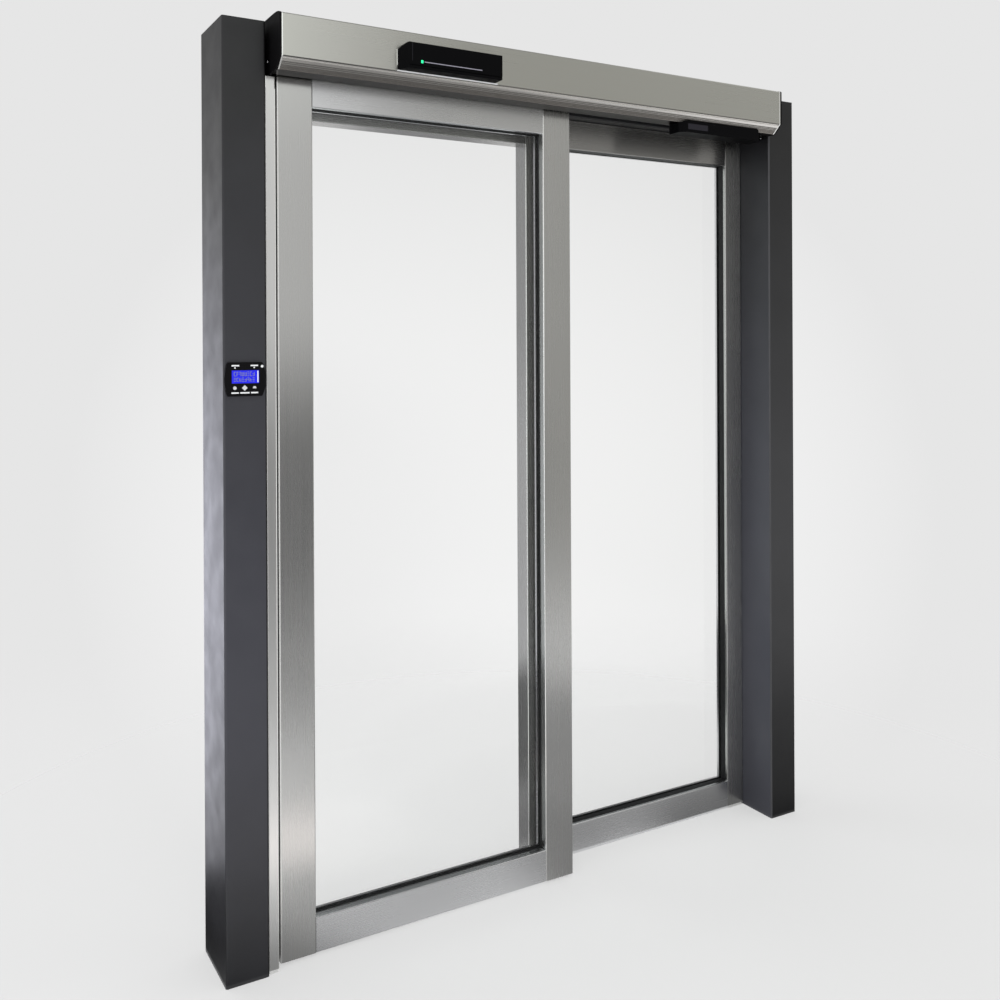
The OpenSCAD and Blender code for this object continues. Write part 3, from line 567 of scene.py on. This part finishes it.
nodeFinishes = {
    "postPaintShaded": ["left_post", "post_foot_plates", "post_top_plates", "lintel_tube"],
    "farPostPaintShaded": ["right_post"],
    "leafUp": ["sliding_left_stile", "sliding_right_stile", "fixed_left_stile", "fixed_right_stile"],
    "leafAcrossLit": ["sliding_top_rail", "sliding_bottom_rail", "fixed_bottom_rail", "sliding_beads", "fixed_beads"],
    "headAcrossShaded": ["fixed_top_rail", "opening_head"],
    "jambUpLit": ["closing_jamb"],
    "coverAcross": ["operator_cover"],
    "millAcross": ["operator_profile", "track_rail", "drive_pulley", "idler_pulley", "idler_bracket"],
    "zincSteel": ["carriage_plates", "belt_clamp"],
    "clearFireGlass": ["sliding_glass", "fixed_glass"],
    "sealRubber": ["sliding_gaskets", "fixed_gaskets", "closing_nose", "overlap_seal"],
    "beltRubber": ["drive_belt"],
    "guidePlastic": ["floor_guide"],
    "capPlastic": ["left_end_cap", "right_end_cap", "control_panel", "control_unit"],
    "sensorPlastic": ["motion_sensor", "presence_sensor"],
    "buttonPlastic": ["panel_buttons"],
    "displayBlue": ["panel_display"],
    "motorPaint": ["drive_motor"],
    "gearCasting": ["drive_gearbox"],
    "wheelPlastic": ["carriage_wheels"],
}

for finishName, members in nodeFinishes.items():
    for member in members:
        mesh = nodes[member].data
        mesh.materials.clear()
        mesh.materials.append(finishes[finishName])


# another finish for the faces of a part that a test picks
def finishFaces(member, finishName, picks):
    mesh = nodes[member].data
    mesh.materials.append(finishes[finishName])
    for face in mesh.polygons:
        if picks(face.normal, face.center):
            face.material_index = len(mesh.materials) - 1


# the cover: painted shade on its underside, in its flutes, on the bevel above them and on the lower lands; a
# painted highlight on the band above the flutes
coverFaces = {
    "chamferNormal": (0.0, -0.6814, -0.7319),
    "chamferMatch": 0.998,               # faces turned further than this from the chamfer are flute walls
    "frontOf": -0.139,                   # only faces in front of this plane
    "bevelTop": 0.0289,                  # the rest are heights over the cover's lower edge
    "bevelFoot": 0.0262,
    "flutesTop": 0.0205,
    "flutesLow": 0.0105,
    "foot": 0.0005,
}


def finishCover():
    c = coverFaces
    chamfer = Vector(c["chamferNormal"])
    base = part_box("operator_cover")[0][2]

    def between(centre, low, high):
        return base + c[low] < centre.z < base + c[high] and centre.y < c["frontOf"]

    def isFlute(normal, centre):
        wall = between(centre, "foot", "flutesTop") and normal.dot(chamfer) < c["chamferMatch"]
        return wall or (between(centre, "bevelFoot", "bevelTop") and abs(normal.y) < 0.999)

    finishFaces("operator_cover", "coverBelowShaded", lambda n, at: n.z < -0.98 and at.z < base + 0.001)
    finishFaces("operator_cover", "coverBandsLit", lambda n, at: between(at, "foot", "bevelFoot"))
    finishFaces("operator_cover", "coverLands", lambda n, at: between(at, "flutesLow", "flutesTop"))
    finishFaces("operator_cover", "coverLowLandsShaded", lambda n, at: between(at, "foot", "flutesLow"))
    finishFaces("operator_cover", "coverFlutesShaded", isFlute)


# painted highlight: rounded edges made brighter than the metal, standing in for the light they catch
paintedHighlightEdges = {"closing_jamb": 0, "sliding_left_stile": -1, "sliding_right_stile": -1, "fixed_left_stile": -1}


def finishHighlightEdges():
    for member, side in paintedHighlightEdges.items():
        finishFaces(member, "paintedHighlightEdges",
                    lambda n, c: n.y < -0.12 and abs(n.x) > 0.12 and (side == 0 or n.x * side > 0))


finishCover()
finishHighlightEdges()
# painted light: a lighter copy of the coat on the right post's inner face
finishFaces("right_post", "postInsideLitAndShaded", lambda n, c: n.x < -0.98)
# painted highlight on the right post's front arris
finishFaces("right_post", "postEdgeHighlight", lambda n, c: n.x < -0.12 and n.y < -0.12)
# painted shade on the left post's right arris
finishFaces("left_post", "gapShade", lambda n, c: n.x > 0.12 and n.y < -0.12)
# painted shade under the fixed top rail's lip
finishFaces("fixed_top_rail", "gapShade", lambda n, c: n.z < -0.9)
left = sorted(set(nodes) - {m for members in nodeFinishes.values() for m in members})
print("parts finished, left over:", left)

# mesh pieces; places come from the parts they sit on


def corners(name):
    lo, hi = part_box(name)
    return Vector(lo), Vector(hi)


def addPiece(name, mesh, finish, body):
    data = bpy.data.meshes.new(name)
    mesh.to_mesh(data)
    mesh.free()
    data.materials.append(finishes[finish])
    piece = bpy.data.objects.new(name, data)
    scene.collection.objects.link(piece)
    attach(piece, body)


def facing(direction):
    return Vector((0, 0, 1)).rotation_difference(Vector(direction)).to_matrix().to_4x4()


# a block with bevelled edges; low and high are its corners
def addBlock(mesh, low, high, bevel, segments=2):
    low, high = Vector(low), Vector(high)
    made = bmesh.ops.create_cube(mesh, size=1.0)
    size, middle = high - low, (low + high) / 2
    for vert in made["verts"]:
        vert.co = Vector(vert.co[i] * size[i] for i in range(3)) + middle
    edges = list({edge for vert in made["verts"] for edge in vert.link_edges})
    bmesh.ops.bevel(mesh, geom=edges, offset=bevel, segments=segments, affect="EDGES", profile=0.5)


# an outline of (radius, height) turned about an axis, standing on a point
def addTurned(mesh, outline, at, direction, steps=28):
    turn = Matrix.Translation(at) @ facing(direction)
    rings = []
    for radius, height in outline:
        if radius == 0:
            rings.append([mesh.verts.new(turn @ Vector((0, 0, height)))])
            continue
        angles = [2 * math.pi * i / steps for i in range(steps)]
        rings.append([mesh.verts.new(turn @ Vector((radius * math.cos(a), radius * math.sin(a), height)))
                      for a in angles])
    for lower, upper in zip(rings, rings[1:]):
        for i in range(steps):
            j = (i + 1) % steps
            ends = [lower[i % len(lower)], lower[j % len(lower)], upper[j % len(upper)], upper[i % len(upper)]]
            mesh.faces.new(list(dict.fromkeys(ends)))


# button-head screw with a six-sided socket
def addScrew(mesh, at, direction, radius, height):
    socket, deep = radius * 0.5, height * 0.55
    turn = Matrix.Translation(at) @ facing(direction)
    steps = 24
    outline = [(radius, 0), (radius, height * 0.25), (radius * 0.9, height * 0.7),
               (radius * 0.72, height * 0.95), (socket * 1.12, height)]
    rings = [[mesh.verts.new(turn @ Vector((r * math.cos(a), r * math.sin(a), h)))
              for a in (2 * math.pi * i / steps for i in range(steps))] for r, h in outline]
    for level in (height, height - deep):
        ring = []
        for i in range(steps):
            a = 2 * math.pi * i / steps
            flat = socket * math.cos(math.pi / 6) / math.cos((a % (math.pi / 3)) - math.pi / 6)
            ring.append(mesh.verts.new(turn @ Vector((flat * math.cos(a), flat * math.sin(a), level))))
        rings.append(ring)
    for lower, upper in zip(rings, rings[1:]):
        for i in range(steps):
            j = (i + 1) % steps
            mesh.faces.new((lower[i], lower[j], upper[j], upper[i]))
    mesh.faces.new(rings[-1])
    mesh.faces.new(list(reversed(rings[0])))


coverLow, coverHigh = corners("operator_cover")
leftCap, rightCap = corners("left_end_cap"), corners("right_end_cap")

# screws through the end caps
capScrews = {"radius": 0.0042, "height": 0.0022, "places": [(-0.0765, 2.304), (-0.030, 2.392)],
             "pinRadius": 0.0026, "pinHeight": 0.003, "pin": (-0.083, 2.2694)}


def makeCapScrews():
    mesh = bmesh.new()
    for y, z in capScrews["places"]:
        addScrew(mesh, (leftCap[0].x, y, z), (-1, 0, 0), capScrews["radius"], capScrews["height"])
        addScrew(mesh, (rightCap[1].x, y, z), (1, 0, 0), capScrews["radius"], capScrews["height"])
    y, z = capScrews["pin"]
    addScrew(mesh, (rightCap[0].x, y, z), (-1, 0, 0), capScrews["pinRadius"], capScrews["pinHeight"])
    addPiece("capScrews", mesh, "screwSteel", "frame")


# ends of the cover, beside the black caps, made bright as a painted highlight of their rounded edges
coverEndHighlights = {"width": 0.0042, "proud": 0.0006, "bevel": 0.0016, "crownDepth": 0.046, "crownRise": 0.008,
             "chamferHeight": 0.027, "chamferDepth": 0.029}


def coverOutline(proud):
    c = coverEndHighlights
    faceZ = coverLow.z + c["chamferHeight"]
    crownZ = coverHigh.z - c["crownRise"]
    y0 = coverLow.y
    points = [(y0 + c["chamferDepth"] + 0.0004, coverLow.z - proud), (y0 - proud, faceZ), (y0 - proud, crownZ)]
    for step in range(1, 9):
        a = math.radians(11.25 * step)
        points.append((y0 - proud + c["crownDepth"] * (1 - math.cos(a)),
                       crownZ + (c["crownRise"] + proud) * math.sin(a)))
    return points


def makeCoverEndHighlights():
    c = coverEndHighlights
    mesh = bmesh.new()
    for x, side in ((coverLow.x, 1), (coverHigh.x, -1)):
        profile = [(0, -0.0010), (0, c["proud"] - c["bevel"] * 0.4), (c["bevel"] * 0.4, c["proud"]),
                   (c["width"] - 0.0006, c["proud"]), (c["width"], -0.0002)]
        rows = [[mesh.verts.new((x + side * dx, y, z)) for y, z in coverOutline(lift)] for dx, lift in profile]
        for lower, upper in zip(rows, rows[1:]):
            for i in range(len(lower) - 1):
                quad = (lower[i], lower[i + 1], upper[i + 1], upper[i])
                mesh.faces.new(quad if side > 0 else tuple(reversed(quad)))
    bmesh.ops.recalc_face_normals(mesh, faces=mesh.faces)
    addPiece("coverEndHighlights", mesh, "paintedHighlightEdges", "frame")


# painted highlights down the edges of the leaf and the jamb: bright wedges that lean to the left
edgeHighlights = {"width": 0.0030, "proud": 0.0005, "sunk": 0.0008, "inset": 0.0001}


def addEdgeHighlight(mesh, x, y, low, high):
    e = edgeHighlights
    section = [(x + e["inset"], y + e["sunk"]), (x + e["width"], y - e["proud"]),
               (x + e["width"] + 0.0004, y - e["proud"] * 0.6), (x + e["width"] + 0.0005, y + 0.0004),
               (x + e["inset"], y + 0.0030)]
    rows = [[mesh.verts.new((px, py, z)) for px, py in section] for z in (low, high)]
    count = len(section)
    for i in range(count):
        j = (i + 1) % count
        mesh.faces.new((rows[0][i], rows[0][j], rows[1][j], rows[1][i]))
    mesh.faces.new(list(reversed(rows[0])))
    mesh.faces.new(rows[1])


def makeEdgeHighlights():
    low, high = corners("sliding_left_stile")
    mesh = bmesh.new()
    addEdgeHighlight(mesh, low.x, low.y, low.z + 0.0005, high.z - 0.0005)
    bmesh.ops.recalc_face_normals(mesh, faces=mesh.faces)
    addPiece("leafEdgeHighlight", mesh, "paintedHighlightEdges", "sliding_leaf")
    low, high = corners("closing_jamb")
    mesh = bmesh.new()
    for x in (low.x, high.x - edgeHighlights["width"] - 0.0005):
        addEdgeHighlight(mesh, x, low.y, low.z + 0.0005, high.z - 0.030)
    bmesh.ops.recalc_face_normals(mesh, faces=mesh.faces)
    addPiece("jambEdgeHighlights", mesh, "paintedHighlightEdges", "frame")


# motion sensor: light strip and lamp, with painted highlights: a pale strip under it, pale rims beside it and a
# lighter line at the fold of its front
motion = {"stripFrom": 0.0575, "stripTo": 0.2295, "stripUp": 0.0185, "stripHeight": 0.0022,
          "lampAt": 0.0510, "lampWidth": 0.0060, "lampHeight": 0.0078, "sillHighlightFrom": -0.002, "sillHighlightTo": 0.300,
          "sillHighlightHeight": 0.0026, "sillHighlightDepth": 0.006,
          "rimHighlightWidth": 0.0018, "rimHighlightDepth": 0.003, "rimHighlightInset": 0.012, "foldAt": 0.0225, "foldWidth": 0.0012,
          "foldFoot": 0.018, "foldTop": 0.003}


def makeMotionMarks():
    m = motion
    low, high = corners("motion_sensor")
    y = low.y
    z = low.z + m["stripUp"]
    mesh = bmesh.new()
    addBlock(mesh, (low.x + m["stripFrom"], y - 0.0004, z - m["stripHeight"] / 2),
             (low.x + m["stripTo"], y + 0.0006, z + m["stripHeight"] / 2), 0.0003)
    addPiece("motionStrip", mesh, "greyPrint", "frame")
    mesh = bmesh.new()
    middle = low.x + m["lampAt"]
    addBlock(mesh, (middle - m["lampWidth"] / 2, y - 0.0005, z - m["lampHeight"] / 2),
             (middle + m["lampWidth"] / 2, y + 0.0006, z + m["lampHeight"] / 2), 0.0010, 3)
    addPiece("motionLamp", mesh, "greenLamp", "frame")
    # painted highlight: pale strip between the sensor and the cover, standing in for the lit lower edge of the
    # cover's front
    mesh = bmesh.new()
    addBlock(mesh, (low.x + m["sillHighlightFrom"], coverLow.y - m["sillHighlightDepth"], low.z - m["sillHighlightHeight"]),
             (low.x + m["sillHighlightTo"], coverLow.y + 0.0005, low.z - 0.0002), 0.0008, 3)
    addPiece("motionSillHighlight", mesh, "whitePrintAndHighlight", "frame")
    # painted highlights: pale rims on the cover beside its ends
    mesh = bmesh.new()
    for x in (low.x - m["rimHighlightWidth"], high.x):
        addBlock(mesh, (x, coverLow.y - m["rimHighlightDepth"], low.z + m["rimHighlightInset"]),
                 (x + m["rimHighlightWidth"], coverLow.y + 0.0005, high.z - m["rimHighlightInset"]), 0.0005)
    addPiece("motionRimHighlights", mesh, "paintedHighlightEdges", "frame")
    # painted highlight: a lighter line at the fold between its front and its slanted end
    mesh = bmesh.new()
    addBlock(mesh, (low.x + m["foldAt"], y - 0.0002, low.z + m["foldFoot"]),
             (low.x + m["foldAt"] + m["foldWidth"], y + 0.0006, high.z - m["foldTop"]), 0.0003)
    addPiece("motionFoldHighlight", mesh, "lensPlasticAndHighlight", "frame")


# presence sensor: smoked window at the left of its front
presence = {"windowFrom": 0.0210, "windowWidth": 0.080, "windowLow": 0.0085, "windowHigh": 0.0260,
            "proud": 0.0008}


def makePresenceWindow():
    p = presence
    low, high = corners("presence_sensor")
    mesh = bmesh.new()
    x = low.x + p["windowFrom"]
    addBlock(mesh, (x, low.y - p["proud"], low.z + p["windowLow"]),
             (x + p["windowWidth"], low.y + 0.0012, low.z + p["windowHigh"]), 0.0007, 3)
    addPiece("presenceWindow", mesh, "lensPlasticAndHighlight", "frame")


# control panel: blank label bars, lamps, and the marks on the display
panel = {"bars": [(-0.0343, -0.0154, 0.0338), (0.0132, 0.0321, 0.0338),
                  (-0.0351, -0.0166, -0.0336), (-0.0130, 0.0103, -0.0336), (0.0140, 0.0321, -0.0336)],
         "barHeight": 0.0036, "lamps": [(-0.0259, 0.0283, 0.0020), (0.0224, 0.0290, 0.0020)],
         "keyhole": (0.0425, 0.0317, 0.0036), "rise": 0.0004}


def makePanelMarks():
    p = panel
    low, high = corners("control_panel")
    middle = Vector(((low.x + high.x) / 2, low.y, (low.z + high.z) / 2))
    mesh = bmesh.new()
    for x0, x1, z in p["bars"]:
        addBlock(mesh, (middle.x + x0, low.y - p["rise"], middle.z + z - p["barHeight"] / 2),
                 (middle.x + x1, low.y + 0.0004, middle.z + z + p["barHeight"] / 2), 0.0003)
    for x, z, radius in p["lamps"] + [p["keyhole"]]:
        outline = [(0, 0.0011), (radius * 0.55, 0.0010), (radius * 0.9, 0.0006), (radius, 0), (radius, -0.0005)]
        addTurned(mesh, outline, (middle.x + x, low.y, middle.z + z), (0, -1, 0))
    addPiece("panelMarks", mesh, "whitePrintAndHighlight", "frame")


# display: a pale edge, a painted highlight, and strokes in two rows, drawn by chance so that they spell nothing
segments = {"rows": [(0.0225, 0.0095), (0.0085, 0.0080)], "columns": 8, "width": 0.0048, "pitch": 0.0067,
            "left": 0.0050, "thick": 0.0012, "strokes": 3, "edgeWidth": 0.0030, "edgeInset": 0.0012}


def makeDisplayMarks():
    d = segments
    low, high = corners("panel_display")
    random.seed(41)
    mesh = bmesh.new()
    for base, tall in d["rows"]:
        for column in range(d["columns"]):
            x = low.x + d["left"] + column * d["pitch"]
            z = low.z + base - tall / 2
            bars = [((0, 0), (d["width"], d["thick"])), ((0, tall / 2), (d["width"], tall / 2 + d["thick"])),
                    ((0, tall), (d["width"], tall + d["thick"])), ((0, 0), (d["thick"], tall)),
                    ((d["width"] - d["thick"], 0), (d["width"], tall))]
            for (x0, z0), (x1, z1) in random.sample(bars, d["strokes"]):
                addBlock(mesh, (x + x0, low.y - 0.0002, z + z0), (x + x1, low.y + 0.0002, z + z1), 0.0001, 1)
    addPiece("displayMarks", mesh, "oliveInk", "frame")
    mesh = bmesh.new()
    addBlock(mesh, (high.x - d["edgeWidth"] - d["edgeInset"], low.y - 0.0003, low.z + 0.002),
             (high.x - d["edgeInset"], low.y + 0.0003, high.z - d["edgeInset"]), 0.0002)
    addPiece("displayEdgeHighlight", mesh, "whitePrintAndHighlight", "frame")


# running gear: foot bolts and axle ends, which travel with the leaf
gear = {"boltRadius": 0.0055, "boltHeight": 0.0050, "boltSpread": 0.045, "axleRadius": 0.0070,
        "axleHeight": 0.0022, "washer": 0.0085, "plateLength": 0.130, "boltInset": 0.0105}


def makeCarriageBolts():
    g = gear
    low, high = corners("carriage_plates")
    wheelLow, wheelHigh = corners("carriage_wheels")
    leafTop = corners("sliding_top_rail")[1].z
    axleZ = (wheelHigh.z + wheelLow.z) / 2
    mesh = bmesh.new()
    length = g["plateLength"]
    boltY = high.y - g["boltInset"]
    for middle in (low.x + length / 2, high.x - length / 2):
        for side in (-1, 1):
            addTurned(mesh, [(g["washer"], 0), (g["washer"], 0.0012), (g["boltRadius"] * 1.05, 0.0013)],
                      (middle + side * g["boltSpread"], boltY, leafTop + 0.006), (0, 0, 1))
            addScrew(mesh, (middle + side * g["boltSpread"], boltY, leafTop + 0.0072), (0, 0, 1),
                     g["boltRadius"], g["boltHeight"])
            addTurned(mesh, [(g["axleRadius"], 0), (g["axleRadius"], g["axleHeight"] * 0.5),
                             (g["axleRadius"] * 0.75, g["axleHeight"]), (0, g["axleHeight"])],
                      (middle + side * length / 4, low.y, axleZ), (0, -1, 0))
    addPiece("carriageBolts", mesh, "screwSteel", "sliding_leaf")


# screws that hold the floor guide to the fixed stile
guideScrews = {"radius": 0.0038, "height": 0.0022, "shares": (0.25, 0.75), "down": 0.011, "sunk": 0.004}


def makeGuideScrews():
    g = guideScrews
    low, high = corners("floor_guide")
    mesh = bmesh.new()
    for share in g["shares"]:
        at = (low.x + (high.x - low.x) * share, high.y - g["sunk"], high.z - g["down"])
        addScrew(mesh, at, (0, -1, 0), g["radius"], g["height"])
    addPiece("guideScrews", mesh, "screwSteel", "frame")


# screws of the beads, seen from behind, spread along each bead
beadScrews = {"radius": 0.0030, "height": 0.0012, "inset": 0.10, "pitch": 0.45, "fromEdge": 0.010}


def makeBeadScrews():
    b = beadScrews
    for node, body, name in (("sliding_beads", "sliding_leaf", "slidingBeadScrews"),
                             ("fixed_beads", "frame", "fixedBeadScrews")):
        low, high = corners(node)
        half = b["fromEdge"]
        mesh = bmesh.new()
        width, height = high.x - low.x, high.z - low.z
        across = max(2, round((width - 2 * b["inset"]) / b["pitch"]) + 1)
        up = max(2, round((height - 2 * b["inset"]) / b["pitch"]) + 1)
        for i in range(across):
            x = low.x + b["inset"] + i * (width - 2 * b["inset"]) / (across - 1)
            for z in (low.z + half, high.z - half):
                addScrew(mesh, (x, high.y, z), (0, 1, 0), b["radius"], b["height"])
        for i in range(up):
            z = low.z + b["inset"] + i * (height - 2 * b["inset"]) / (up - 1)
            for x in (low.x + half, high.x - half):
                addScrew(mesh, (x, high.y, z), (0, 1, 0), b["radius"], b["height"])
        addPiece(name, mesh, "screwSteel", body)


makeCapScrews()
makeCoverEndHighlights()
makeEdgeHighlights()
makeMotionMarks()
makePresenceWindow()
makePanelMarks()
makeDisplayMarks()
makeCarriageBolts()
makeGuideScrews()
makeBeadScrews()
print("small pieces made")
